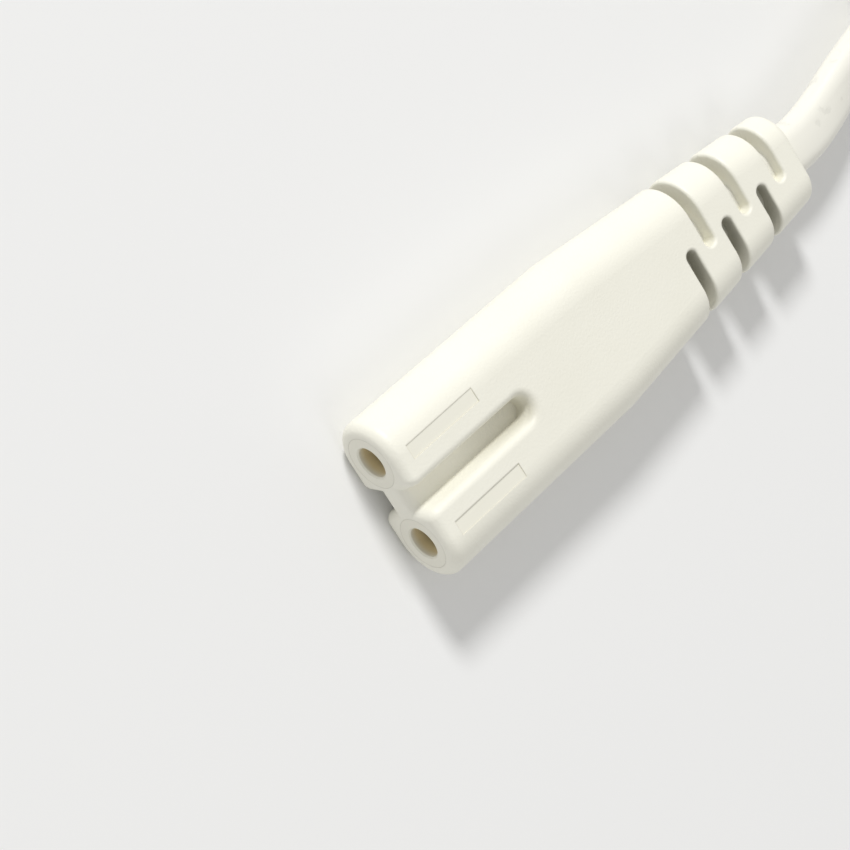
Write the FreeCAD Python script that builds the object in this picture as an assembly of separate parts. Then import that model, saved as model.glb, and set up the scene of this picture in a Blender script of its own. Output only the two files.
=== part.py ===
import FreeCAD, Part
import math
import os

V = FreeCAD.Vector
UP = V(0, 0, 1)
ALONG = V(0, 1, 0)
SIDES = {"left": -1, "right": 1}

# All sizes in millimetres. Stations count from the face of the connector or of the plug.
# Two places closer than this are the same place.
same_place = 1e-4

# Figure-eight nose
pole_pitch = 8.6
nose_height = 7.8
face_edge_round = 1.0
groove_floor_half_width = 0.95
groove_mouth_half_width = 1.4
groove_depth = 2.25
groove_lip_round = 0.8
groove_length = 14.7

# Grip and strain relief of the connector moulding
connector_length = 54.6
grip_station = 25.0
grip_half_width = 7.95
neck_station = 36.5
neck_half_width = 6.75
neck_half_height = 3.6
tail_half_width = 4.9
tail_half_height = 2.95
tail_edge_round = 0.8
slot_count = 3
slot_pitch = 5.45
slot_width = 1.35
slot_overlap = {"left": 0.75, "right": 0.4}
slot_edge_round = 0.3
slot_setback = {"left": 3.4, "right": 6.15}

# Flat two-core cord
cord_width = 5.3
cord_thickness = 3.2
sheath_station = 33.5
sheath_wall = 0.1
core_radius = 1.15
core_pitch = 2.4
strand_radius = 0.6

# Contact carrier
barrel_radius = 2.6
barrel_length = 16.0
barrel_back_wall = 2.0
entry_radius = 1.55
entry_chamfer = 0.15
web_thickness = 1.6
web_setback = 1.2
pad_width = 1.43
pad_length = 8.45
pad_setback = 1.7
pad_inset = 0.25
pad_recess = 0.1

# Spring contacts
contact_radius = 1.2
contact_wall = 0.25
contact_setback = 2.5
contact_floor = 1.5
contact_slit = 0.5
contact_slit_stop = 2.0
crimp_radius = 1.0
crimp_length = 5.0
crimp_grip = 3.5
strand_bare = 1.5
core_straight = 2.5

# Mains plug
plug_half_width = 17.5
plug_half_height = 6.75
plug_end_half_height = 2.5
plug_edge_round = 1.2
plug_waist_station = 20.0
plug_waist_half_width = 14.0
plug_waist_half_height = 6.2
plug_relief_length = 19.0
plug_neck_half_width = 6.2
plug_neck_half_height = 4.0
plug_length = 53.0
plug_tail_half_width = 4.4
plug_tail_half_height = 2.9
plug_slot_setback = {"left": 4.8, "right": 6.8}
plug_slot_pitch = 4.6
plug_sheath_grip = 21.0
bridge_half_width = 13.0
bridge_half_height = 4.2
bridge_depth = 6.0
pin_pitch = 18.6
pin_tip_pitch = 17.5
pin_length = 19.0
pin_radius = 2.0
pin_tip_round = 1.2
shank_radius = 1.35
collar_radius = 2.4
collar_station = 3.0
collar_thickness = 1.2
pin_back_length = 12.0
sleeve_length = 10.0
sleeve_radius = 1.75
sleeve_seat = 1.5
plug_core_straight = 3.0

# Folded lead behind the connector
hank_run = 100.0
hank_inner_radius = 16.0
turn_pitch = 3.4
hank_layers = 2
hank_near_station = 77.0
hank_entry_x = -2.6
entry_stub = 13.2
tie_thickness = 0.8
tie_width = 4.0
tie_from_far_loop = 45.0

# The lead's points from the strain relief to the folded part, and the tail's from the plug to its crown.
# Each bend takes the same share of the shorter of its two runs.
bend_share = 0.45
lead_run = [V(0, 6.7, 0), V(-1.1, 14.7, -0.6)]
lead_settle = 7.3
tail_run = [V(0, 10.2, 0), V(-6.1, 22.1, -1.4), V(-15.2, 28.8, -3.2), V(-19.4, 37.1, -4.7)]
tail_reach = 46.4
pin_rest_gap = 0.7

# Places that follow from the sizes above
lobe_radius = nose_height / 2
axis_z = lobe_radius
pole_x = pole_pitch / 2
face_y = -connector_length / 2
exit_y = face_y + connector_length
cord_round = cord_thickness / 2
crimp_end = barrel_length + crimp_length
core_start = crimp_end + strand_bare
contact_shoulder = barrel_length - barrel_back_wall
contact_depth = contact_shoulder - contact_floor - contact_setback
outer_turn_radius = hank_inner_radius + turn_pitch
hank_x = hank_entry_x - outer_turn_radius
hank_half_width = outer_turn_radius + cord_round
hank_top = hank_layers * cord_width
crown_z = hank_top + cord_width / 2
near_loop_y = face_y + hank_near_station + hank_half_width
far_loop_y = near_loop_y + hank_run
plug_neck_station = plug_length - plug_relief_length
plug_sheath_station = plug_length - plug_sheath_grip
plug_back_y = far_loop_y - tail_reach
plug_z = hank_top + cord_width + pin_radius + pin_rest_gap
plug_origin = V(hank_x, plug_back_y - plug_length, plug_z)


def stadium(y, half_width, half_height):
    """Closed outline across Y with full-round sides."""
    flat = half_width - half_height
    upper = Part.LineSegment(V(-flat, y, half_height), V(flat, y, half_height))
    right = Part.Arc(V(flat, y, half_height), V(half_width, y, 0), V(flat, y, -half_height))
    lower = Part.LineSegment(V(flat, y, -half_height), V(-flat, y, -half_height))
    left = Part.Arc(V(-flat, y, -half_height), V(-half_width, y, 0), V(-flat, y, half_height))
    return Part.Wire([edge.toShape() for edge in (upper, right, lower, left)])


def stadium_bar(start, end, half_width, half_height):
    return Part.Face(stadium(start, half_width, half_height)).extrude(ALONG * (end - start))


def rod(radius, start, end, x=0.0):
    return Part.makeCylinder(radius, end - start, V(x, start, 0), ALONG)


def block(low, high):
    size = high - low
    return Part.makeBox(size.x, size.y, size.z, low)


def sheath(start, end):
    return stadium_bar(start, end, cord_width / 2, cord_round)


def rounded_route(points, name):
    """Straight runs joined by the largest tangent arcs that the runs leave room for."""
    edges = []
    radii = []
    start = points[0]
    for before, corner, after in zip(points, points[1:], points[2:]):
        arriving = (corner - before).normalize()
        leaving = (after - corner).normalize()
        half_turn = arriving.getAngle(leaving) / 2
        trim = bend_share * min((corner - before).Length, (after - corner).Length)
        radius = trim / math.tan(half_turn)
        inwards = (leaving - arriving).normalize()
        middle = corner + inwards * (radius / math.cos(half_turn) - radius)
        arc_start = corner - arriving * trim
        arc_end = corner + leaving * trim
        edges.append(Part.LineSegment(start, arc_start).toShape())
        edges.append(Part.Arc(arc_start, middle, arc_end).toShape())
        radii.append(round(radius, 1))
        start = arc_end
    edges.append(Part.LineSegment(start, points[-1]).toShape())
    print(name, "bend radii", radii)
    return Part.Wire(edges)


def swept(route, outline):
    pipe = Part.BRepOffsetAPI.MakePipeShell(route)
    pipe.setBiNormalMode(UP)
    pipe.add(outline)
    pipe.build()
    pipe.makeSolid()
    return pipe.shape()


def cord_tube(points, name):
    route = rounded_route(points, name)
    outline = stadium(0, cord_width / 2, cord_round)
    outline.translate(points[0])
    tube = swept(route, outline)
    print(name, "volume", round(tube.Volume, 1), "section by length",
          round(Part.Face(outline).Area * route.Length, 1))
    return tube


def core_tube(points, name):
    heading = points[1] - points[0]
    outline = Part.Wire([Part.makeCircle(core_radius, points[0], heading)])
    return swept(rounded_route(points, name), outline)


def slot_places(length, setback, pitch):
    """Stations of the relief's slots on each side, counted forward from the end of the moulding."""
    return {side: [length - setback[side] - i * pitch for i in range(slot_count)] for side in SIDES}


def relief_slots(places, length, reach):
    """Blades that cut the strain relief from alternate sides, down to the wall round the cord."""
    blades = []
    half = slot_width / 2
    for side, sign in SIDES.items():
        tip_x = -sign * (slot_overlap[side] - half)
        low_x, high_x = sorted((tip_x, sign * reach))
        for y in places[side]:
            tip = Part.makeCylinder(half, 2 * reach, V(tip_x, y, -reach), UP)
            blade = block(V(low_x, y - half, -reach), V(high_x, y + half, reach))
            blades.append(blade.fuse(tip))
    wall = stadium_bar(0, length, cord_width / 2 + sheath_wall, cord_round + sheath_wall)
    return Part.makeCompound(blades).cut(wall)


def slotted(shell, places, length, reach):
    """The moulding with its relief slots, softened where they open to the outside."""
    cut = shell.cut(relief_slots(places, length, reach))
    skin = Part.makeCompound(shell.Faces)
    mouths = []
    for edge in cut.Edges:
        middle = edge.valueAt((edge.FirstParameter + edge.LastParameter) / 2)
        in_slot = any(abs(middle.y - y) < slot_width / 2 + same_place for side in SIDES for y in places[side])
        if in_slot and Part.Vertex(middle).distToShape(skin)[0] < same_place:
            mouths.append(edge)
    return cut.makeFillet(slot_edge_round, mouths)


def groove(top):
    """Straight slot with drafted walls and a round inner end, cut into a flat of the nose."""
    inner = groove_length - groove_mouth_half_width
    floor = lobe_radius - groove_depth
    rise = nose_height - floor
    wide = groove_floor_half_width + (groove_mouth_half_width - groove_floor_half_width) * rise / groove_depth
    corners = [
        V(-groove_floor_half_width, -rise, top * floor), V(groove_floor_half_width, -rise, top * floor),
        V(wide, -rise, top * nose_height), V(-wide, -rise, top * nose_height),
    ]
    section = Part.Face(Part.makePolygon(corners + corners[:1]))
    straight = section.extrude(ALONG * (inner + rise))
    end = Part.makeCone(groove_floor_half_width, wide, rise, V(0, inner, top * floor), UP * top)
    return straight.fuse(end).removeSplitter()


def edges_on_plane(solid, axis, place, keep):
    """Edges that lie wholly at one height or station and pass the keep test at their middle."""
    found = []
    for edge in solid.Edges:
        box = edge.BoundBox
        low, high = (box.YMin, box.YMax) if axis == "y" else (box.ZMin, box.ZMax)
        flat = abs(low - place) < same_place and abs(high - place) < same_place
        if flat and keep(edge.CenterOfMass):
            found.append(edge)
    return found


def connector_shell():
    """Outside of the connector moulding, with its grooves and rounded edges."""
    nose_half_width = pole_x + lobe_radius
    outlines = [
        stadium(0, nose_half_width, lobe_radius),
        stadium(grip_station, grip_half_width, lobe_radius),
        stadium(neck_station, neck_half_width, neck_half_height),
        stadium(connector_length, tail_half_width, tail_half_height),
    ]
    shell = Part.makeLoft(outlines, True, True)
    between_lobes = (groove_mouth_half_width + pole_x) / 2
    for top in (1, -1):
        shell = shell.cut(groove(top))
        lips = edges_on_plane(shell, "z", top * lobe_radius,
                              lambda c: abs(c.x) < between_lobes and face_edge_round < c.y < groove_length)
        shell = shell.makeFillet(groove_lip_round, lips)
    rim = edges_on_plane(shell, "y", 0, lambda c: True)
    shell = shell.makeFillet(face_edge_round, rim)
    back = edges_on_plane(shell, "y", connector_length, lambda c: True)
    return shell.makeFillet(tail_edge_round, back)


def pads(height):
    """Four rectangular pads that reach from the barrels to the flats of the nose."""
    solids = []
    for sign in SIDES.values():
        for top in (1, -1):
            middle = sign * (pole_x - pad_inset)
            low, high = sorted((top * entry_radius, top * height))
            pad = block(V(middle - pad_width / 2, pad_setback, low),
                        V(middle + pad_width / 2, pad_setback + pad_length, high))
            solids.append(pad.cut(rod(barrel_radius, 0, barrel_length, sign * pole_x)))
    return solids


def contact_carrier():
    barrels = [rod(barrel_radius, 0, barrel_length, sign * pole_x) for sign in SIDES.values()]
    web = block(V(-pole_x, web_setback, -web_thickness / 2), V(pole_x, barrel_length, web_thickness / 2))
    carrier = web.multiFuse(barrels + pads(lobe_radius - pad_recess))
    for sign in SIDES.values():
        x = sign * pole_x
        mouth = Part.makeCone(entry_radius + entry_chamfer, entry_radius, entry_chamfer, V(x, 0, 0), ALONG)
        carrier = carrier.cut(rod(entry_radius, 0, contact_shoulder, x))
        carrier = carrier.cut(mouth).cut(rod(crimp_radius, 0, barrel_length, x))
    return carrier.removeSplitter()


def contact(sign):
    """Rolled sleeve that grips the inlet's pin, with a shoulder and a crimp neck behind it."""
    x = sign * pole_x
    outer = contact_radius + contact_wall
    sleeve = rod(outer, contact_setback, contact_shoulder, x)
    sleeve = sleeve.fuse(rod(crimp_radius, contact_shoulder, crimp_end, x))
    sleeve = sleeve.cut(rod(contact_radius, contact_setback, contact_setback + contact_depth, x))
    sleeve = sleeve.cut(rod(strand_radius, crimp_end - crimp_grip, crimp_end, x))
    slit_end = contact_setback + contact_depth - contact_slit_stop
    slit = block(V(x - contact_slit / 2, contact_setback, 0), V(x + contact_slit / 2, slit_end, 2 * outer))
    return sleeve.cut(slit).removeSplitter()


def strand(sign):
    return rod(strand_radius, crimp_end - crimp_grip, core_start, sign * pole_x)


def core(sign, name):
    outer_x = sign * pole_x
    inner_x = sign * core_pitch / 2
    points = [
        V(outer_x, core_start, 0),
        V(outer_x, core_start + core_straight, 0),
        V(inner_x, sheath_station - core_straight, 0),
        V(inner_x, sheath_station, 0),
    ]
    return core_tube(points, name)


def connector_pieces():
    """The connector's pieces, with the cord end that its moulding closes on."""
    pieces = {"contact_carrier": contact_carrier()}
    for side, sign in SIDES.items():
        pieces["contact_" + side] = contact(sign)
        pieces["strand_" + side] = strand(sign)
        pieces["core_" + side] = core(sign, "core_" + side)
    cord_end = sheath(sheath_station, connector_length)
    slots = slot_places(connector_length, slot_setback, slot_pitch)
    body = slotted(connector_shell(), slots, connector_length, nose_height * 2)
    filled = [rod(barrel_radius, 0, barrel_length, sign * pole_x) for sign in SIDES.values()]
    body = body.cut(list(pieces.values()) + filled + pads(nose_height) + [cord_end])
    pieces["connector_body"] = body.removeSplitter()
    return pieces, cord_end


def hexagon_outline(y, half_width, half_height):
    """Flat outline of the plug across Y, with slanted corners at both ends."""
    end = plug_end_half_height * half_height / plug_half_height
    flat = half_width - (half_height - end)
    corners = [
        V(-flat, y, half_height), V(flat, y, half_height), V(half_width, y, end), V(half_width, y, -end),
        V(flat, y, -half_height), V(-flat, y, -half_height), V(-half_width, y, -end), V(-half_width, y, end),
    ]
    return Part.makePolygon(corners + corners[:1])


def plug_shell():
    """Outside of the plug moulding: a slanted grip that runs into a slotted strain relief."""
    grip = Part.makeLoft([
        hexagon_outline(0, plug_half_width, plug_half_height),
        hexagon_outline(plug_waist_station, plug_waist_half_width, plug_waist_half_height),
        hexagon_outline(plug_neck_station, plug_neck_half_width, plug_neck_half_height),
    ], True, True)
    grip = grip.makeFillet(plug_edge_round, grip.Edges)
    relief = Part.makeLoft([
        stadium(plug_waist_station, plug_neck_half_width, plug_neck_half_height),
        stadium(plug_length, plug_tail_half_width, plug_tail_half_height),
    ], True, True)
    back = edges_on_plane(relief, "y", plug_length, lambda c: True)
    relief = relief.makeFillet(tail_edge_round, back)
    return grip.fuse(relief).removeSplitter()


def pin_tilt(sign):
    """The pins lean towards each other, turned about their places on the plug's face."""
    lean = math.degrees(math.atan((pin_pitch - pin_tip_pitch) / 2 / pin_length))
    return FreeCAD.Placement(V(), FreeCAD.Rotation(UP, -sign * lean), V(sign * pin_pitch / 2, 0, 0))


def tilted(shape, sign):
    shape.Placement = pin_tilt(sign).multiply(shape.Placement)
    return shape


def plug_pin(sign):
    x = sign * pin_pitch / 2
    head = rod(pin_radius, -pin_length, -sleeve_length, x)
    tip = edges_on_plane(head, "y", -pin_length, lambda c: True)
    pin = head.makeFillet(pin_tip_round, tip).multiFuse([
        rod(shank_radius, -sleeve_length, pin_back_length, x),
        rod(collar_radius, collar_station, collar_station + collar_thickness, x),
    ])
    pin = pin.cut(rod(strand_radius, pin_back_length - crimp_grip, pin_back_length, x))
    return tilted(pin.removeSplitter(), sign)


def pin_sleeve(sign):
    x = sign * pin_pitch / 2
    tube = rod(sleeve_radius, -sleeve_length, sleeve_seat, x)
    return tilted(tube.cut(rod(shank_radius, -sleeve_length, sleeve_seat, x)), sign)


def plug_strand(sign):
    x = sign * pin_pitch / 2
    bare = rod(strand_radius, pin_back_length - crimp_grip, pin_back_length + strand_bare, x)
    return tilted(bare, sign)


def plug_core(sign, name):
    start = pin_back_length + strand_bare
    outer_x = sign * pin_pitch / 2
    inner_x = sign * core_pitch / 2
    tilt = pin_tilt(sign)
    points = [
        tilt.multVec(V(outer_x, start, 0)),
        tilt.multVec(V(outer_x, start + plug_core_straight, 0)),
        V(inner_x, plug_sheath_station - plug_core_straight, 0),
        V(inner_x, plug_sheath_station, 0),
    ]
    return core_tube(points, name)


def plug_pieces():
    """The plug's pieces about its own face, with the cord end that its moulding closes on."""
    pieces = {}
    for side, sign in SIDES.items():
        pieces["plug_pin_" + side] = plug_pin(sign)
        pieces["pin_sleeve_" + side] = pin_sleeve(sign)
        pieces["plug_strand_" + side] = plug_strand(sign)
        pieces["plug_core_" + side] = plug_core(sign, "plug_core_" + side)
    plate = stadium_bar(0, bridge_depth, bridge_half_width, bridge_half_height)
    pieces["plug_bridge"] = plate.cut(list(pieces.values()))
    cord_end = sheath(plug_sheath_station, plug_length)
    slots = slot_places(plug_length, plug_slot_setback, plug_slot_pitch)
    body = slotted(plug_shell(), slots, plug_length, plug_half_width)
    pieces["plug_body"] = body.cut(list(pieces.values()) + [plate, cord_end]).removeSplitter()
    return pieces, cord_end


def loop_outline(radius):
    """Long loop of the folded lead, seen from above."""
    near = [V(hank_x + sign * radius, near_loop_y, 0) for sign in (1, -1)]
    far = [V(hank_x + sign * radius, far_loop_y, 0) for sign in (1, -1)]
    return Part.Wire([
        Part.LineSegment(near[0], far[0]).toShape(),
        Part.Arc(far[0], V(hank_x, far_loop_y + radius, 0), far[1]).toShape(),
        Part.LineSegment(far[1], near[1]).toShape(),
        Part.Arc(near[1], V(hank_x, near_loop_y - radius, 0), near[0]).toShape(),
    ])


def loop_solid(inner_radius, outer_radius, height):
    ring = Part.Face(loop_outline(outer_radius)).cut(Part.Face(loop_outline(inner_radius)))
    return ring.extrude(UP * height)


def hank_ties():
    """Bands round the two sides of the folded lead, as high as each side is."""
    ties = {}
    y = far_loop_y - tie_from_far_loop
    inner = hank_inner_radius - cord_round
    for side, sign in SIDES.items():
        top = hank_top + (cord_width if side == "right" else 0)
        near_x, far_x = sorted((hank_x + sign * inner, hank_x + sign * hank_half_width))
        hole = block(V(near_x, y, tie_thickness), V(far_x, y + tie_width, top))
        margin = V(tie_thickness, 0, 0)
        outer = block(V(near_x, y, 0) - margin, V(far_x, y + tie_width, top + tie_thickness) + margin)
        ties["tie_" + side] = outer.cut(hole)
    return ties


def cord_hank(ties):
    """Outer shape of the folded lead: layers of turns, the last turn on top and the first turn's entry."""
    inner = hank_inner_radius - cord_round
    last_turn = outer_turn_radius - cord_round
    layers = loop_solid(inner, hank_half_width, hank_top)
    crown = loop_solid(last_turn, hank_half_width, hank_top + cord_width)
    open_side = block(V(hank_x - 2 * hank_half_width, near_loop_y, hank_top),
                      V(hank_x, far_loop_y, hank_top + 2 * cord_width))
    stub = block(V(hank_entry_x - cord_round, near_loop_y - entry_stub, 0),
                 V(hank_entry_x + cord_round, near_loop_y, cord_width))
    hank = layers.multiFuse([crown.cut(open_side), stub])
    return hank.cut(list(ties.values())).removeSplitter()


def build():
    nodes, connector_cord = connector_pieces()
    for shape in list(nodes.values()) + [connector_cord]:
        shape.translate(V(0, face_y, axis_z))
    plug, plug_cord = plug_pieces()
    for shape in list(plug.values()) + [plug_cord]:
        shape.translate(plug_origin)
    nodes.update(plug)

    exit_point = V(0, exit_y, axis_z)
    entry = V(hank_entry_x, near_loop_y - entry_stub, cord_width / 2)
    lead_points = [exit_point] + [exit_point + step for step in lead_run]
    lead_points += [entry - ALONG * lead_settle, entry]
    nodes["cord_lead"] = cord_tube(lead_points, "cord_lead").fuse(connector_cord).removeSplitter()

    plug_back = plug_origin + ALONG * plug_length
    crown_end = V(hank_x - outer_turn_radius, far_loop_y, crown_z)
    tail_points = [plug_back] + [plug_back + step for step in tail_run] + [crown_end]
    nodes["cord_tail"] = cord_tube(tail_points, "cord_tail").fuse(plug_cord).removeSplitter()

    ties = hank_ties()
    nodes["cord_hank"] = cord_hank(ties)
    nodes.update(ties)
    return nodes


os.makedirs("parts", exist_ok=True)
for node, solid in build().items():
    solid.exportStep("parts/" + node + ".step")
    print(node, "solids", len(solid.Solids), "valid", solid.isValid(), "volume", round(solid.Volume, 2))
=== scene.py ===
import math
import bpy
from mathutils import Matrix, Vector


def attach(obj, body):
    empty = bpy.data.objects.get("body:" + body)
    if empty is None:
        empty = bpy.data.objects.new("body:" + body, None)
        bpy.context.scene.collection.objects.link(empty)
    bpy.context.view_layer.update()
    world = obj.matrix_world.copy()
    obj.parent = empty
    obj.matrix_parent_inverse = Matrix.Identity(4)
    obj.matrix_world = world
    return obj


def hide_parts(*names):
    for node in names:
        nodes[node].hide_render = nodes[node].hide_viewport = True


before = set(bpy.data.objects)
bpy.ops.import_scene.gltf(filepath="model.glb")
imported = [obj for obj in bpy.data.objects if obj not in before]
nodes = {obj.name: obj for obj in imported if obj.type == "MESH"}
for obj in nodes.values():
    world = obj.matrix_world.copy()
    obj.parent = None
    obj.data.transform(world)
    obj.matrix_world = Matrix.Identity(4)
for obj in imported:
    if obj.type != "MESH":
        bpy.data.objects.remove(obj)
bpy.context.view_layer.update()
mm = 0.001
print("frame loaded,", len(nodes), "nodes")


# Shader sums
class Wire:
    def __init__(self, finish, socket):
        self.finish = finish
        self.socket = socket

    def math(self, operation, *others):
        sockets = dict(enumerate((self, *others)))
        return self.finish.add("ShaderNodeMath", {"operation": operation}, sockets)

    def hypot(self, other):
        return (self * self + other * other).math("SQRT")

    def __add__(self, other):
        return self.math("ADD", other)

    def __sub__(self, other):
        return self.math("SUBTRACT", other)

    def __rsub__(self, other):
        return self.finish.add("ShaderNodeMath", {"operation": "SUBTRACT"}, {0: other, 1: self})

    def __mul__(self, other):
        return self.math("MULTIPLY", other)

    def __abs__(self):
        return self.math("ABSOLUTE")

    __radd__ = __add__
    __rmul__ = __mul__


class Finish:
    def __init__(self, name):
        self.material = bpy.data.materials.new(name)
        self.material.use_nodes = True
        self.tree = self.material.node_tree
        self.shader = self.tree.nodes["Principled BSDF"]
        self.place = self.add("ShaderNodeTexCoord", {}, {}, "Object")

    def add(self, kind, settings, sockets, output=0):
        node = self.tree.nodes.new(kind)
        for name, value in settings.items():
            setattr(node, name, value)
        self.feed(node, sockets)
        return Wire(self, node.outputs[output])

    def feed(self, node, sockets):
        for name, value in sockets.items():
            if isinstance(value, Wire):
                self.tree.links.new(value.socket, node.inputs[name])
            else:
                node.inputs[name].default_value = value

    def set(self, **sockets):
        self.feed(self.shader, {name.replace("_", " "): value for name, value in sockets.items()})
        return self.material

    def noise(self, size, detail=2.0, place=None):
        sockets = {"Vector": place or self.place, "Scale": 1 / size, "Detail": detail}
        return self.add("ShaderNodeTexNoise", {}, sockets)

    def stretched(self, place, factors):
        return self.add("ShaderNodeVectorMath", {"operation": "MULTIPLY"}, {0: place, 1: factors})

    def axis(self, letter):
        return self.add("ShaderNodeSeparateXYZ", {}, {0: self.place}, letter)

    def fade(self, value, start, end):      # 1 at start, 0 from end on
        sockets = {"Value": value, "From Min": start, "From Max": end, "To Min": 1.0, "To Max": 0.0}
        return self.add("ShaderNodeMapRange", {"interpolation_type": "SMOOTHSTEP"}, sockets)

    def mix(self, share, first, second):
        colours = [c if isinstance(c, Wire) else (*c, 1) for c in (first, second)]
        sockets = {"Factor": share, 6: colours[0], 7: colours[1]}
        return self.add("ShaderNodeMix", {"data_type": "RGBA"}, sockets, 2)

    def bump(self, height):                 # height in metres
        return self.add("ShaderNodeBump", {}, {"Strength": 1.0, "Distance": 1.0, "Height": height})


def largest(first, *others):
    for other in others:
        first = first.math("MAXIMUM", other)
    return first


# White moulding: satin vinyl with a fine spark-eroded grain, seams where the carrier shows,
# a parting line, and painted shade in the groove and slots. A pair of lengths is where a mask starts and
# ends.
moulding = {
    "white": (0.90, 0.885, 0.79), "shade": (0.865, 0.848, 0.745),
    "grainSize": 0.22 * mm, "grainDepth": 0.032 * mm, "waveSize": 5 * mm, "waveDepth": 0.015 * mm,
    "roughness": 0.46, "roughnessSpread": 0.12,
    "poleX": 4.3 * mm, "axisZ": 3.9 * mm, "faceY": -27.3 * mm, "barrelRadius": 2.6 * mm,
    "windowX": 4.05 * mm, "windowY": -21.375 * mm, "windowHalfX": 0.715 * mm,
    "windowHalfY": 4.225 * mm,
    "seam": (0.50, 0.47, 0.38), "seamTint": 0.3, "seamHalfWidth": 0.08 * mm, "seamDepth": 0.02 * mm,
    "ringShare": 1.7, "ringDepth": (0.2 * mm, 0.4 * mm),
    "partingZ": 3.9 * mm, "plugPartingZ": 18.6 * mm, "partingHalfWidth": 0.09 * mm,
    "partingHeight": 0.03 * mm, "partingFrom": (0.4 * mm, 1.0 * mm),
    "sheathFlat": 1.05 * mm, "sheathRadius": 1.6 * mm, "reliefFrom": (8.5 * mm, 9.5 * mm),
    # painted shade: a darker colour for the floors of the left-hand slots, then its masks
    "slotFloorShade": (0.81, 0.80, 0.735), "floorReach": (0.15 * mm, 0.9 * mm), "floorSide": (0.0, 0.5 * mm),
    # painted shade: a dark colour deep in the right-hand slots, then its masks
    "rightSlotShade": (0.42, 0.41, 0.34), "rightShadeShare": 0.8, "rightShadeReach": (0.5 * mm, 3.0 * mm),
    "rightSlotY": (10.25 * mm, 15.7 * mm, 21.15 * mm), "rightSlotTip": 0.275 * mm,
    "slotEdge": (0.69 * mm, 0.80 * mm),
    # painted shade: a darker colour for the groove's far corner and end lip, then its masks
    "grooveShade": (0.68, 0.66, 0.56), "grooveSide": (1.1 * mm, 1.45 * mm),
    "grooveRise": (2.2 * mm, 3.5 * mm), "grooveShadeFrom": (4.5 * mm, 14.5 * mm), "grooveShadeBy": (16 * mm, 18 * mm),
    "grooveEndY": 13.3 * mm, "endShare": 0.6, "endReach": (1.3 * mm, 2.3 * mm),
    "endFrom": (12.8 * mm, 14.4 * mm),
}
vinylIor = 1.5


def poleDistance(finish, side):
    dx = finish.axis("X") - side * moulding["poleX"]
    return dx.hypot(finish.axis("Z") - moulding["axisZ"])


def nearFace(finish, start, end):           # 1 on the mating face, 0 further back
    return finish.fade(finish.axis("Y"), moulding["faceY"] + start, moulding["faceY"] + end)


def seamLines(finish):
    onFace = nearFace(finish, *moulding["ringDepth"])
    lines = []
    for side in (-1, 1):
        across = abs(finish.axis("X") - side * moulding["windowX"]) - moulding["windowHalfX"]
        along = abs(finish.axis("Y") - moulding["windowY"]) - moulding["windowHalfY"]
        lines.append(finish.fade(abs(largest(across, along)), 0.0, moulding["seamHalfWidth"]))
        ringGap = abs(poleDistance(finish, side) - moulding["barrelRadius"])
        ring = finish.fade(ringGap, 0.0, moulding["seamHalfWidth"])
        lines.append(ring * onFace * moulding["ringShare"])
    return largest(*lines)


def sheathGap(finish):                      # how far a place lies from the cord's sheath
    across = largest(abs(finish.axis("X")) - moulding["sheathFlat"], 0.0)
    return across.hypot(finish.axis("Z") - moulding["axisZ"]) - moulding["sheathRadius"]


def leftSlotFloorShade(finish):                     # painted shade: 1 at the bottom of the left-hand slots
    onRelief = 1 - finish.fade(finish.axis("Y"), *moulding["reliefFrom"])
    onLeft = finish.fade(finish.axis("X"), *moulding["floorSide"])
    return finish.fade(sheathGap(finish), *moulding["floorReach"]) * onRelief * onLeft


def rightSlotShade(finish):                      # painted shade: 1 deep in the right-hand slots, less at their mouths
    pastTip = (finish.axis("X") - moulding["rightSlotTip"]).math("MINIMUM", 0.0)
    slots = []
    for slotY in moulding["rightSlotY"]:
        slots.append(finish.fade(pastTip.hypot(finish.axis("Y") - slotY), *moulding["slotEdge"]))
    return largest(*slots) * finish.fade(sheathGap(finish), *moulding["rightShadeReach"])


def grooveShade(finish):                     # painted shade: 1 in the groove's far corner and round its end lip, 0 at its mouth
    inGroove = finish.fade(abs(finish.axis("X")), *moulding["grooveSide"])
    deep = finish.fade(abs(finish.axis("Z") - moulding["axisZ"]), *moulding["grooveRise"])
    farPart = (1 - nearFace(finish, *moulding["grooveShadeFrom"])) * nearFace(finish, *moulding["grooveShadeBy"])
    endGap = finish.axis("X").hypot(finish.axis("Y") - (moulding["faceY"] + moulding["grooveEndY"]))
    end = finish.fade(endGap, *moulding["endReach"]) * (1 - nearFace(finish, *moulding["endFrom"]))
    return largest(inGroove * deep * farPart, end * moulding["endShare"])


def whiteMoulding(name, partingZ, withSeams):
    finish = Finish(name)
    grain = finish.noise(moulding["grainSize"], detail=3.0)
    wave = finish.noise(moulding["waveSize"])
    parting = finish.fade(abs(finish.axis("Z") - partingZ), 0.0, moulding["partingHalfWidth"])
    colour = finish.mix(wave, moulding["white"], moulding["shade"])
    height = grain * moulding["grainDepth"] + wave * moulding["waveDepth"]
    if withSeams:
        lines = seamLines(finish)
        # painted shade deep in the right-hand slots, less at their mouths
        slotShade = rightSlotShade(finish) * moulding["rightShadeShare"]
        parting = parting * (1 - nearFace(finish, *moulding["partingFrom"]))
        colour = finish.mix(lines * moulding["seamTint"], colour, moulding["seam"])
        # painted shade on the floors of the left-hand slots
        colour = finish.mix(leftSlotFloorShade(finish), colour, moulding["slotFloorShade"])
        colour = finish.mix(slotShade, colour, moulding["rightSlotShade"])
        # painted shade in the groove's far corner and round its end lip
        colour = finish.mix(grooveShade(finish), colour, moulding["grooveShade"])
        height = height - lines * moulding["seamDepth"]
    height = height + parting * moulding["partingHeight"]
    roughness = moulding["roughness"] + (grain - 0.5) * moulding["roughnessSpread"]
    return finish.set(Base_Color=colour, Roughness=roughness, Normal=finish.bump(height), IOR=vinylIor)


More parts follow.
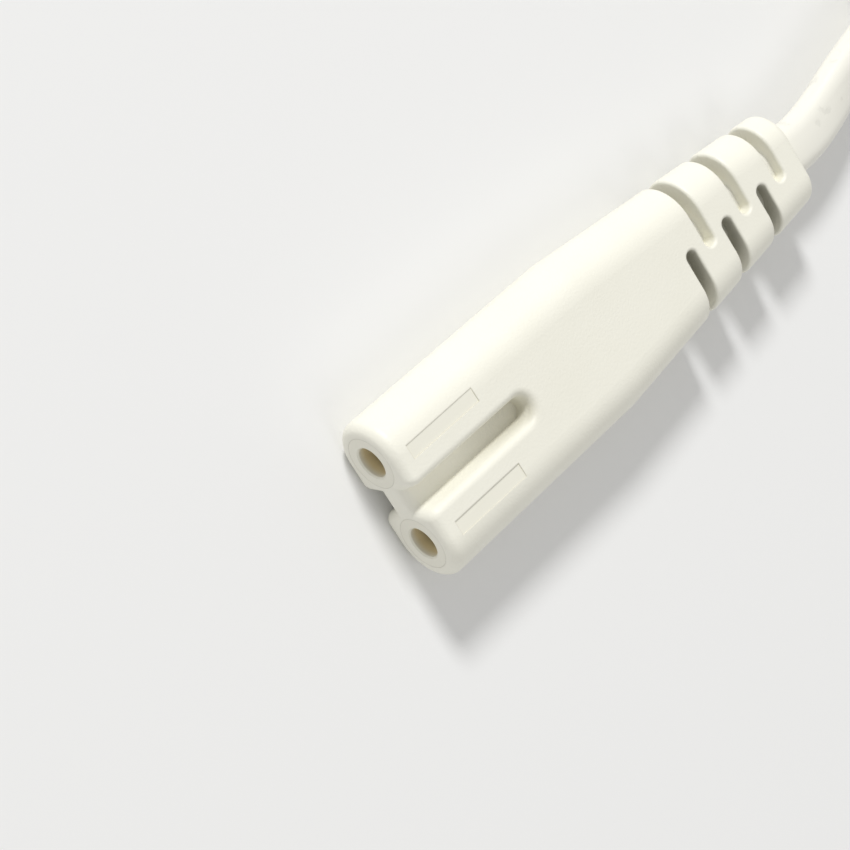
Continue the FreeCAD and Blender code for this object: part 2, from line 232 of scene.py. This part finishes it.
# Flat cord: one smooth line from the strain relief through the hank to the plug, routes in mm
cord = {
    "width": 5.3 * mm, "thickness": 3.2 * mm, "length": 1.5, "roundSteps": 8, "stepsBetweenPoints": 8,
    "inside": 21.1 * mm,                    # how far a moulding holds the sheath
    "leadRoute": [(0, 27.3, 3.9), (0, 32.5, 3.9), (-2.2, 40.5, 3.5), (-3.6, 48.5, 2.75),
                  (-2.45, 58.0, 2.65)],
    "tailRoute": [(-41.4, 161.4, 13.9), (-37.2, 153.1, 15.4), (-28.1, 146.4, 17.2),
                  (-22.0, 134.5, 18.6), (-22.0, 124.3, 18.6)],
    "onEdgeFrom": 22 * mm, "onEdgeBy": 58 * mm,     # along the line from its start
    "flatFrom": 84 * mm, "flatBy": 40 * mm,         # and back from its end
    "white": (0.89, 0.875, 0.80), "shade": (0.85, 0.835, 0.755), "scuff": (0.58, 0.57, 0.52),
    "grainSize": 0.25 * mm, "grainDepth": 0.006 * mm, "waveSize": 9 * mm, "waveDepth": 0.015 * mm,
    "drawnStretch": (60.0, 70.0, 1.0), "drawnDepth": 0.012 * mm,
    "scuffSize": 1.7 * mm, "scuffEdge": (0.30, 0.40), "scuffShare": 0.25, "scuffDepth": 0.01 * mm,
    "roughness": 0.36, "roughnessSpread": 0.14,
}
hank = {
    "x": -22.0, "nearY": 70.7, "farY": 170.7, "outer": 19.4, "inner": 16.0,
    "low": 2.65, "mid": 7.95, "top": 13.25,
    "stepIn": [18.1, 16.1], "stepOut": [16.9, 18.7], "lift": [3.9, 6.7],    # near loop, between turns
    "climbFrom": 52.0, "climbTo": 14.0,     # along the last left run, from the near loop's centre
    "loopPoints": 6, "loopStep": 30,        # control points of a half turn, degrees between them
}


def hankTurns():
    # radius and height at the far loop, then radii and heights at the six points of the near loop
    outer, inner, low, mid, top = (hank[key] for key in ("outer", "inner", "low", "mid", "top"))
    return [
        (outer, low, [outer] * 4 + hank["stepIn"], [low] * 6),
        (inner, low, [inner] * 6, [low] * 2 + hank["lift"] + [mid] * 2),
        (inner, mid, hank["stepOut"] + [outer] * 4, [mid] * 6),
        (outer, mid, [outer] * 6, [top] * 6),
        (outer, top, [], []),
    ]


def loopPoint(centreY, start, step, radius, height):
    halfStep = hank["loopStep"] / 2
    reach = radius / math.cos(math.radians(halfStep))       # the line runs inside its control points
    turn = math.radians(start + halfStep + hank["loopStep"] * step)
    return (hank["x"] + reach * math.cos(turn), centreY + reach * math.sin(turn), height)


def hankRoute():
    route = []
    settle = math.tan(math.radians(hank["loopStep"] / 2))
    turns = hankTurns()
    for number, (radius, height, nearRadii, nearHeights) in enumerate(turns):
        right, left = hank["x"] + radius, hank["x"] - radius
        route.append((right, hank["farY"] - radius * settle, height))
        for step in range(hank["loopPoints"]):
            route.append(loopPoint(hank["farY"], 0, step, radius, height))
        if not nearRadii:
            break
        route.append((left, hank["farY"] - radius * settle, height))
        if nearHeights[0] > height:
            route.append((left, hank["nearY"] + hank["climbFrom"], height))
            route.append((left, hank["nearY"] + hank["climbTo"], nearHeights[0]))
        else:
            route.append((left, hank["nearY"] + radius * settle, height))
        for step, (nearRadius, nearHeight) in enumerate(zip(nearRadii, nearHeights)):
            route.append(loopPoint(hank["nearY"], 180, step, nearRadius, nearHeight))
        nextRadius, nextHeight = turns[number + 1][:2]
        route.append((hank["x"] + nextRadius, hank["nearY"] + nextRadius * settle, nextHeight))
    return route


def cordRoute():
    first, last = cord["leadRoute"][0], cord["tailRoute"][-1]
    start = (first[0], first[1] - cord["inside"] / mm, first[2])
    end = (last[0], last[1] - cord["inside"] / mm, last[2])
    points = [start, *cord["leadRoute"], *hankRoute(), *cord["tailRoute"], end]
    return [Vector(point) * mm for point in points]


def smoothLine(name, points, steps):
    curve = bpy.data.curves.new(name, "CURVE")
    curve.dimensions = "3D"
    curve.resolution_u = steps
    spline = curve.splines.new("NURBS")
    spline.points.add(len(points) - 1)
    for target, point in zip(spline.points, points):
        target.co = (*point, 1)
    spline.order_u = 3
    spline.use_endpoint_u = True
    holder = bpy.data.objects.new(name, curve)
    bpy.context.scene.collection.objects.link(holder)
    bpy.context.view_layer.update()
    line = bpy.data.meshes.new_from_object(holder)
    path = [vertex.co.copy() for vertex in line.vertices]
    bpy.data.objects.remove(holder)
    return path


def easeBetween(value, start, end):
    share = min(max((value - start) / (end - start), 0), 1)
    return share * share * (3 - 2 * share)


def flatSection():
    half = cord["width"] / 2 - cord["thickness"] / 2
    radius = cord["thickness"] / 2
    section = []
    for side, first in ((1, -90), (-1, 90)):                # a half round at each edge
        for step in range(cord["roundSteps"] + 1):
            turn = math.radians(first + 180 * step / cord["roundSteps"])
            section.append((side * half + radius * math.cos(turn), radius * math.sin(turn)))
    return section


def flatTube(name, path):
    reached = [0.0]
    for before, after in zip(path, path[1:]):
        reached.append(reached[-1] + (after - before).length)
    flatFrom, flatBy = reached[-1] - cord["flatFrom"], reached[-1] - cord["flatBy"]
    section = flatSection()
    count = len(section)
    corners = []
    for i, point in enumerate(path):
        heading = (path[min(i + 1, len(path) - 1)] - path[max(i - 1, 0)]).normalized()
        side = heading.cross(Vector((0, 0, 1))).normalized()
        up = side.cross(heading)
        onEdge = easeBetween(reached[i], cord["onEdgeFrom"], cord["onEdgeBy"])
        flatAgain = easeBetween(reached[i], flatFrom, flatBy)
        roll = -math.radians(90) * (onEdge + flatAgain)
        across = side * math.cos(roll) + up * math.sin(roll)
        through = up * math.cos(roll) - side * math.sin(roll)
        corners += [point + across * a + through * b for a, b in section]
    faces = []
    for i in range(len(path) - 1):
        here, ahead = i * count, (i + 1) * count
        for k in range(count):
            nextK = (k + 1) % count
            faces.append((here + k, ahead + k, ahead + nextK, here + nextK))
    faces.append(tuple(range(count)))
    faces.append(tuple(reversed(range((len(path) - 1) * count, len(path) * count))))
    mesh = bpy.data.meshes.new(name)
    mesh.from_pydata(corners, [], faces)
    tube = bpy.data.objects.new(name, mesh)
    bpy.context.scene.collection.objects.link(tube)
    mesh.shade_smooth()
    layer = mesh.uv_layers.new(name="sheath")               # metres along, turns around
    for face in mesh.polygons[:-2]:                         # all but the two end caps
        i, k = divmod(face.index, count)
        for loop, (ahead, around) in zip(face.loop_indices, ((0, 0), (1, 0), (1, 1), (0, 1))):
            layer.data[loop].uv = (reached[i + ahead], (k + around) / count)
    print("cord line", round(reached[-1], 4), "m,", len(path), "points,", len(faces), "faces")
    return tube


def cordSheath():
    finish = Finish("cordSheath")
    uv = finish.add("ShaderNodeUVMap", {"uv_map": "sheath"}, {})
    drawn = finish.noise(1.0, place=finish.stretched(uv, cord["drawnStretch"]))
    grain = finish.noise(cord["grainSize"])
    wave = finish.noise(cord["waveSize"])
    scuffs = finish.fade(finish.noise(cord["scuffSize"], detail=4.0), *cord["scuffEdge"])
    colour = finish.mix(wave, cord["white"], cord["shade"])
    colour = finish.mix(scuffs * cord["scuffShare"], colour, cord["scuff"])
    height = grain * cord["grainDepth"] + drawn * cord["drawnDepth"] + wave * cord["waveDepth"]
    height = height - scuffs * cord["scuffDepth"]
    roughness = cord["roughness"] + (drawn - 0.5) * cord["roughnessSpread"]
    return finish.set(Base_Color=colour, Roughness=roughness, Normal=finish.bump(height), IOR=vinylIor)


path = smoothLine("cordLine", cordRoute(), cord["stepsBetweenPoints"])
cordTube = flatTube("cordTube", path)
cordTube.data.materials.append(cordSheath())
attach(cordTube, "root")
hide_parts("cord_lead", "cord_hank", "cord_tail")
print("cord made")


# Twist ties: a flat coated band round each side of the hank, its ends wound together inside the loop
tie = {
    "y": 127.7 * mm, "width": 4.0 * mm, "thickness": 0.8 * mm,
    "cornerRound": 1.5 * mm, "cornerSegments": 6, "edgeRound": 0.15 * mm, "edgeSegments": 2,
    "left": {"inner": -36.4 * mm, "outer": -43.0 * mm, "height": 10.6 * mm,
             "stepIn": 0.0, "stepDown": 0.0},
    "right": {"inner": -7.6 * mm, "outer": -1.0 * mm, "height": 15.9 * mm,
              "stepIn": 3.4 * mm, "stepDown": 5.3 * mm},
    "endWidth": 3.4 * mm, "endLength": 12.0 * mm, "endGap": 0.2 * mm, "endCuts": 30, "endTurns": 1.25,
    "endHeight": 6.0 * mm, "endDroop": 12, "middleX": -22.0 * mm,
    "sharpAngle": 50, "smoothAngle": 40, "samePlace": 0.01 * mm,
    "white": (0.84, 0.83, 0.79), "scuff": (0.76, 0.75, 0.71), "roughness": 0.42, "roughnessSpread": 0.2,
    "grainSize": 0.3 * mm, "grainDepth": 0.006 * mm, "scuffSize": 2.5 * mm, "scuffDepth": 0.02 * mm,
    "wireHalfWidth": 0.55 * mm, "wireHeight": 0.12 * mm, "wireFrom": (13.0 * mm, 13.4 * mm),
}


def pickEdges(piece, test):
    bpy.ops.object.mode_set(mode="EDIT")
    bpy.ops.mesh.select_mode(type="EDGE")
    bpy.ops.mesh.select_all(action="DESELECT")
    bpy.ops.object.mode_set(mode="OBJECT")
    for edge in piece.data.edges:
        edge.select = test(*(piece.data.vertices[i].co for i in edge.vertices))
    bpy.ops.object.mode_set(mode="EDIT")


def finishWith(piece, kind, **settings):
    modifier = piece.modifiers.new(kind, kind)
    for name, value in settings.items():
        setattr(modifier, name, value)
    bpy.ops.object.modifier_apply(modifier=modifier.name)


def roundEdges(piece):
    finishWith(piece, "BEVEL", width=tie["edgeRound"], segments=tie["edgeSegments"],
               limit_method="ANGLE", angle_limit=math.radians(tie["sharpAngle"]))


def boxAt(name, centre, size):
    bpy.ops.object.select_all(action="DESELECT")
    bpy.ops.mesh.primitive_cube_add(size=1, location=centre, scale=size)
    piece = bpy.context.object
    piece.name = name
    bpy.ops.object.transform_apply(location=True, rotation=True, scale=True)
    return piece


def tieLoop(name, side):
    near, inner = tie["samePlace"], side["inner"]
    middle = (tie["thickness"] + side["height"]) / 2        # the band's lower run lies on the floor
    centre = ((inner + side["outer"]) / 2, tie["y"], middle)
    size = (abs(side["outer"] - inner), tie["width"], side["height"] - tie["thickness"])
    loop = boxAt(name, centre, size)
    pickEdges(loop, lambda a, b: abs(a.y - b.y) < near)     # the box loses its two ends
    bpy.ops.mesh.select_mode(type="FACE")
    bpy.ops.mesh.delete(type="ONLY_FACE")
    if side["stepIn"]:                                      # over the top turn, then down beside it
        pickEdges(loop, lambda a, b: abs(a.y - b.y) > near and abs(a.x - inner) < near and a.z > middle)
        bpy.ops.mesh.bevel(offset=side["stepIn"], segments=1, affect="EDGES")
        pickEdges(loop, lambda a, b: max(abs(a.x - inner), abs(b.x - inner)) < near
                  and min(a.z, b.z) > middle)
        bpy.ops.transform.translate(value=(0, 0, side["stepIn"] - side["stepDown"]))
    pickEdges(loop, lambda a, b: abs(a.y - b.y) > near)
    bpy.ops.mesh.bevel(offset=tie["cornerRound"], segments=tie["cornerSegments"], affect="EDGES")
    bpy.ops.object.mode_set(mode="OBJECT")
    finishWith(loop, "SOLIDIFY", thickness=tie["thickness"], offset=1.0)
    roundEdges(loop)
    return loop


def tieEnds(name, side):
    apart = tie["thickness"] + tie["endGap"]
    ends = boxAt(name, (apart / 2, 0, 0), (tie["thickness"], tie["endWidth"], tie["endLength"]))
    pickEdges(ends, lambda a, b: abs(a.z - b.z) > tie["endWidth"])
    bpy.ops.mesh.subdivide(number_cuts=tie["endCuts"])
    bpy.ops.mesh.select_all(action="SELECT")
    bpy.ops.mesh.duplicate()
    bpy.ops.transform.translate(value=(-apart, 0, 0))
    bpy.ops.object.mode_set(mode="OBJECT")
    roundEdges(ends)
    finishWith(ends, "SIMPLE_DEFORM", deform_method="TWIST", deform_axis="Z",
               angle=math.radians(360 * tie["endTurns"]))
    inwards = 1 if side["inner"] < tie["middleX"] else -1
    droop = math.radians(90 + tie["endDroop"])
    reach = tie["endLength"] / 2
    ends.rotation_euler = (0, inwards * droop, 0)
    ends.location = (side["inner"] + inwards * (reach * math.sin(droop) + tie["thickness"] / 2),
                     tie["y"], tie["endHeight"] + reach * math.cos(droop))
    bpy.ops.object.transform_apply(location=True, rotation=True, scale=True)
    return ends


def tieVinyl():                             # the wire inside shows as a low ridge along the band
    finish = Finish("tieVinyl")
    grain = finish.noise(tie["grainSize"], detail=3.0)
    scuffs = finish.noise(tie["scuffSize"], detail=3.0)
    onBand = 1 - finish.fade(abs(finish.axis("X") - tie["middleX"]), *tie["wireFrom"])
    wire = finish.fade(abs(finish.axis("Y") - tie["y"]), 0.0, tie["wireHalfWidth"]) * onBand
    colour = finish.mix(scuffs, tie["white"], tie["scuff"])
    height = wire * tie["wireHeight"] + grain * tie["grainDepth"] + scuffs * tie["scuffDepth"]
    roughness = tie["roughness"] + (scuffs - 0.5) * tie["roughnessSpread"]
    return finish.set(Base_Color=colour, Roughness=roughness, Normal=finish.bump(height), IOR=vinylIor)


def twistTie(name, side, replaced, material):
    band = tieLoop(name, side)
    ends = tieEnds(name + "Ends", side)
    bpy.ops.object.select_all(action="DESELECT")
    ends.select_set(True)
    band.select_set(True)
    bpy.context.view_layer.objects.active = band
    bpy.ops.object.join()
    bpy.ops.object.shade_smooth_by_angle(angle=math.radians(tie["smoothAngle"]))
    band.data.materials.clear()
    band.data.materials.append(material)
    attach(band, "root")
    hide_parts(replaced)
    return band


vinyl = tieVinyl()
twistTies = [twistTie("tieLeft", tie["left"], "tie_left", vinyl),
             twistTie("tieRight", tie["right"], "tie_right", vinyl)]
print("ties made")


# Hard carrier: a little yellower than the moulding; down the bores browner, partly its own warmer tone
# and partly painted shade, then darker with painted shade further in
carrierPiece = {
    "white": (0.872, 0.856, 0.757), "shade": (0.84, 0.822, 0.715),
    # bore colour: partly the carrier's warmer tone inside, partly painted shade; the darker colour is
    # painted shade deep in the bores
    "bore": (0.89, 0.775, 0.50), "boreShade": (0.36, 0.29, 0.15),
    "boreEdge": (1.6 * mm, 1.75 * mm), "boreDepth": (0.1 * mm, 0.9 * mm),
    "boreShadeDepth": (0.9 * mm, 2.6 * mm),
    "grainSize": 0.2 * mm, "grainDepth": 0.008 * mm, "waveSize": 3 * mm, "waveDepth": 0.01 * mm,
    "roughness": 0.5, "roughnessSpread": 0.1,
}


def carrierPlastic():
    finish = Finish("carrierPlastic")
    grain = finish.noise(carrierPiece["grainSize"], detail=3.0)
    wave = finish.noise(carrierPiece["waveSize"])
    axisGap = poleDistance(finish, -1).math("MINIMUM", poleDistance(finish, 1))
    inBore = finish.fade(axisGap, *carrierPiece["boreEdge"])
    # painted shade: browner a little way down each bore, darker further in
    bore = inBore * (1 - nearFace(finish, *carrierPiece["boreDepth"]))
    boreShade = inBore * (1 - nearFace(finish, *carrierPiece["boreShadeDepth"]))
    colour = finish.mix(wave, carrierPiece["white"], carrierPiece["shade"])
    colour = finish.mix(bore, colour, carrierPiece["bore"])
    colour = finish.mix(boreShade, colour, carrierPiece["boreShade"])
    height = grain * carrierPiece["grainDepth"] + wave * carrierPiece["waveDepth"]
    roughness = carrierPiece["roughness"] + (grain - 0.5) * carrierPiece["roughnessSpread"]
    return finish.set(Base_Color=colour, Roughness=roughness, Normal=finish.bump(height), IOR=vinylIor)


# Metal pieces: bright and dull colour, then roughness
metal = {
    "contactBrass": ((0.80, 0.62, 0.33), (0.70, 0.52, 0.26), 0.3),
    "pinNickel": ((0.78, 0.76, 0.72), (0.70, 0.68, 0.64), 0.24),
    "strandCopper": ((0.75, 0.42, 0.24), (0.64, 0.34, 0.18), 0.35),
    "brushStretch": (6000.0, 300.0, 6000.0), "brushDepth": 0.002 * mm, "brushSpread": 0.2,
    "patchSize": 2 * mm,
}


def metalFinish(name):
    bright, dull, roughness = metal[name]
    finish = Finish(name)
    brushed = finish.noise(1.0, place=finish.stretched(finish.place, metal["brushStretch"]))
    colour = finish.mix(finish.noise(metal["patchSize"]), bright, dull)
    roughness = roughness + (brushed - 0.5) * metal["brushSpread"]
    return finish.set(Base_Color=colour, Metallic=1.0, Roughness=roughness,
                      Normal=finish.bump(brushed * metal["brushDepth"]))


# Cores and pin sleeves: light and dark colour, then roughness
plastic = {
    "coreBrown": ((0.16, 0.07, 0.03), (0.12, 0.05, 0.02), 0.45),
    "coreBlue": ((0.03, 0.12, 0.45), (0.02, 0.09, 0.36), 0.45),
    "sleevePlastic": ((0.88, 0.865, 0.78), (0.84, 0.825, 0.73), 0.42),
    "grainSize": 0.3 * mm, "grainDepth": 0.005 * mm, "grainSpread": 0.15, "patchSize": 4 * mm,
}


def plainPlastic(name):
    light, dark, roughness = plastic[name]
    finish = Finish(name)
    grain = finish.noise(plastic["grainSize"], detail=3.0)
    colour = finish.mix(finish.noise(plastic["patchSize"]), light, dark)
    roughness = roughness + (grain - 0.5) * plastic["grainSpread"]
    return finish.set(Base_Color=colour, Roughness=roughness,
                      Normal=finish.bump(grain * plastic["grainDepth"]))


carrier = carrierPlastic()
brass, nickel, copper = (metalFinish(name) for name in ("contactBrass", "pinNickel", "strandCopper"))
brown, blue, sleeve = (plainPlastic(name) for name in ("coreBrown", "coreBlue", "sleevePlastic"))
nodeFinishes = {
    "connector_body": whiteMoulding("connectorMoulding", moulding["partingZ"], True),
    "plug_body": whiteMoulding("plugMoulding", moulding["plugPartingZ"], False),
    "contact_carrier": carrier, "plug_bridge": carrier,
    "contact_left": brass, "contact_right": brass, "plug_pin_left": nickel, "plug_pin_right": nickel,
    "pin_sleeve_left": sleeve, "pin_sleeve_right": sleeve, "strand_left": copper, "strand_right": copper,
    "plug_strand_left": copper, "plug_strand_right": copper, "core_left": brown, "core_right": blue,
    "plug_core_left": brown, "plug_core_right": blue,
}
for name, material in nodeFinishes.items():
    nodes[name].data.materials.clear()
    nodes[name].data.materials.append(material)
print("finishes set on", len(nodeFinishes), "nodes")


# Stage, light and camera
studio = {
    "floorSize": 3.0, "floorColour": (0.86, 0.86, 0.855), "floorTint": (0.88, 0.88, 0.87),
    "floorTintShare": 0.1, "floorPatch": 0.4, "floorRoughness": 0.9,
    "skyColour": (1.0, 0.995, 0.98, 1), "skyStrength": 0.49,
    "keyPlace": (-1.30, 0.12, 0.95), "keySize": 0.30, "keyPower": 17.2,
    "fillPlace": (0.88, -0.12, 1.38), "fillSize": 0.90, "fillPower": 3.2,
    "cameraPlace": (-78.77 * mm, -143.95 * mm, 223.22 * mm), "cameraTurn": (3.698, -33.153, 51.891),
    "lens": 128.0, "sensorWidth": 36, "clipStart": 10 * mm,
}


def makeFloor():
    bpy.ops.object.select_all(action="DESELECT")
    bpy.ops.mesh.primitive_plane_add(size=studio["floorSize"])
    floor = bpy.context.object
    floor.name = "studioFloor"
    finish = Finish("studioFloor")
    tint = finish.noise(studio["floorPatch"]) * studio["floorTintShare"]
    colour = finish.mix(tint, studio["floorColour"], studio["floorTint"])
    floor.data.materials.append(finish.set(Base_Color=colour, Roughness=studio["floorRoughness"]))


def makeLight(name, place, size, power):    # aimed at the floor under the connector
    lamp = bpy.data.lights.new(name, "AREA")
    lamp.shape = "DISK"
    lamp.size = size
    lamp.energy = power
    holder = bpy.data.objects.new(name, lamp)
    bpy.context.scene.collection.objects.link(holder)
    holder.location = place
    holder.rotation_euler = (-Vector(place)).to_track_quat("-Z", "Y").to_euler()


def makeSky():
    sky = bpy.data.worlds.new("studioSky")
    sky.use_nodes = True
    background = sky.node_tree.nodes["Background"]
    background.inputs["Color"].default_value = studio["skyColour"]
    background.inputs["Strength"].default_value = studio["skyStrength"]
    bpy.context.scene.world = sky


def makeCamera():
    view = bpy.data.cameras.new("photoView")
    view.lens = studio["lens"]
    view.sensor_width = studio["sensorWidth"]
    view.clip_start = studio["clipStart"]
    holder = bpy.data.objects.new("photoView", view)
    bpy.context.scene.collection.objects.link(holder)
    holder.location = studio["cameraPlace"]
    holder.rotation_euler = [math.radians(a) for a in studio["cameraTurn"]]
    bpy.context.scene.camera = holder


makeFloor()
makeSky()
makeLight("keyLight", studio["keyPlace"], studio["keySize"], studio["keyPower"])
makeLight("fillLight", studio["fillPlace"], studio["fillSize"], studio["fillPower"])
makeCamera()
bpy.context.scene.view_settings.view_transform = "Standard"
print("studio set")
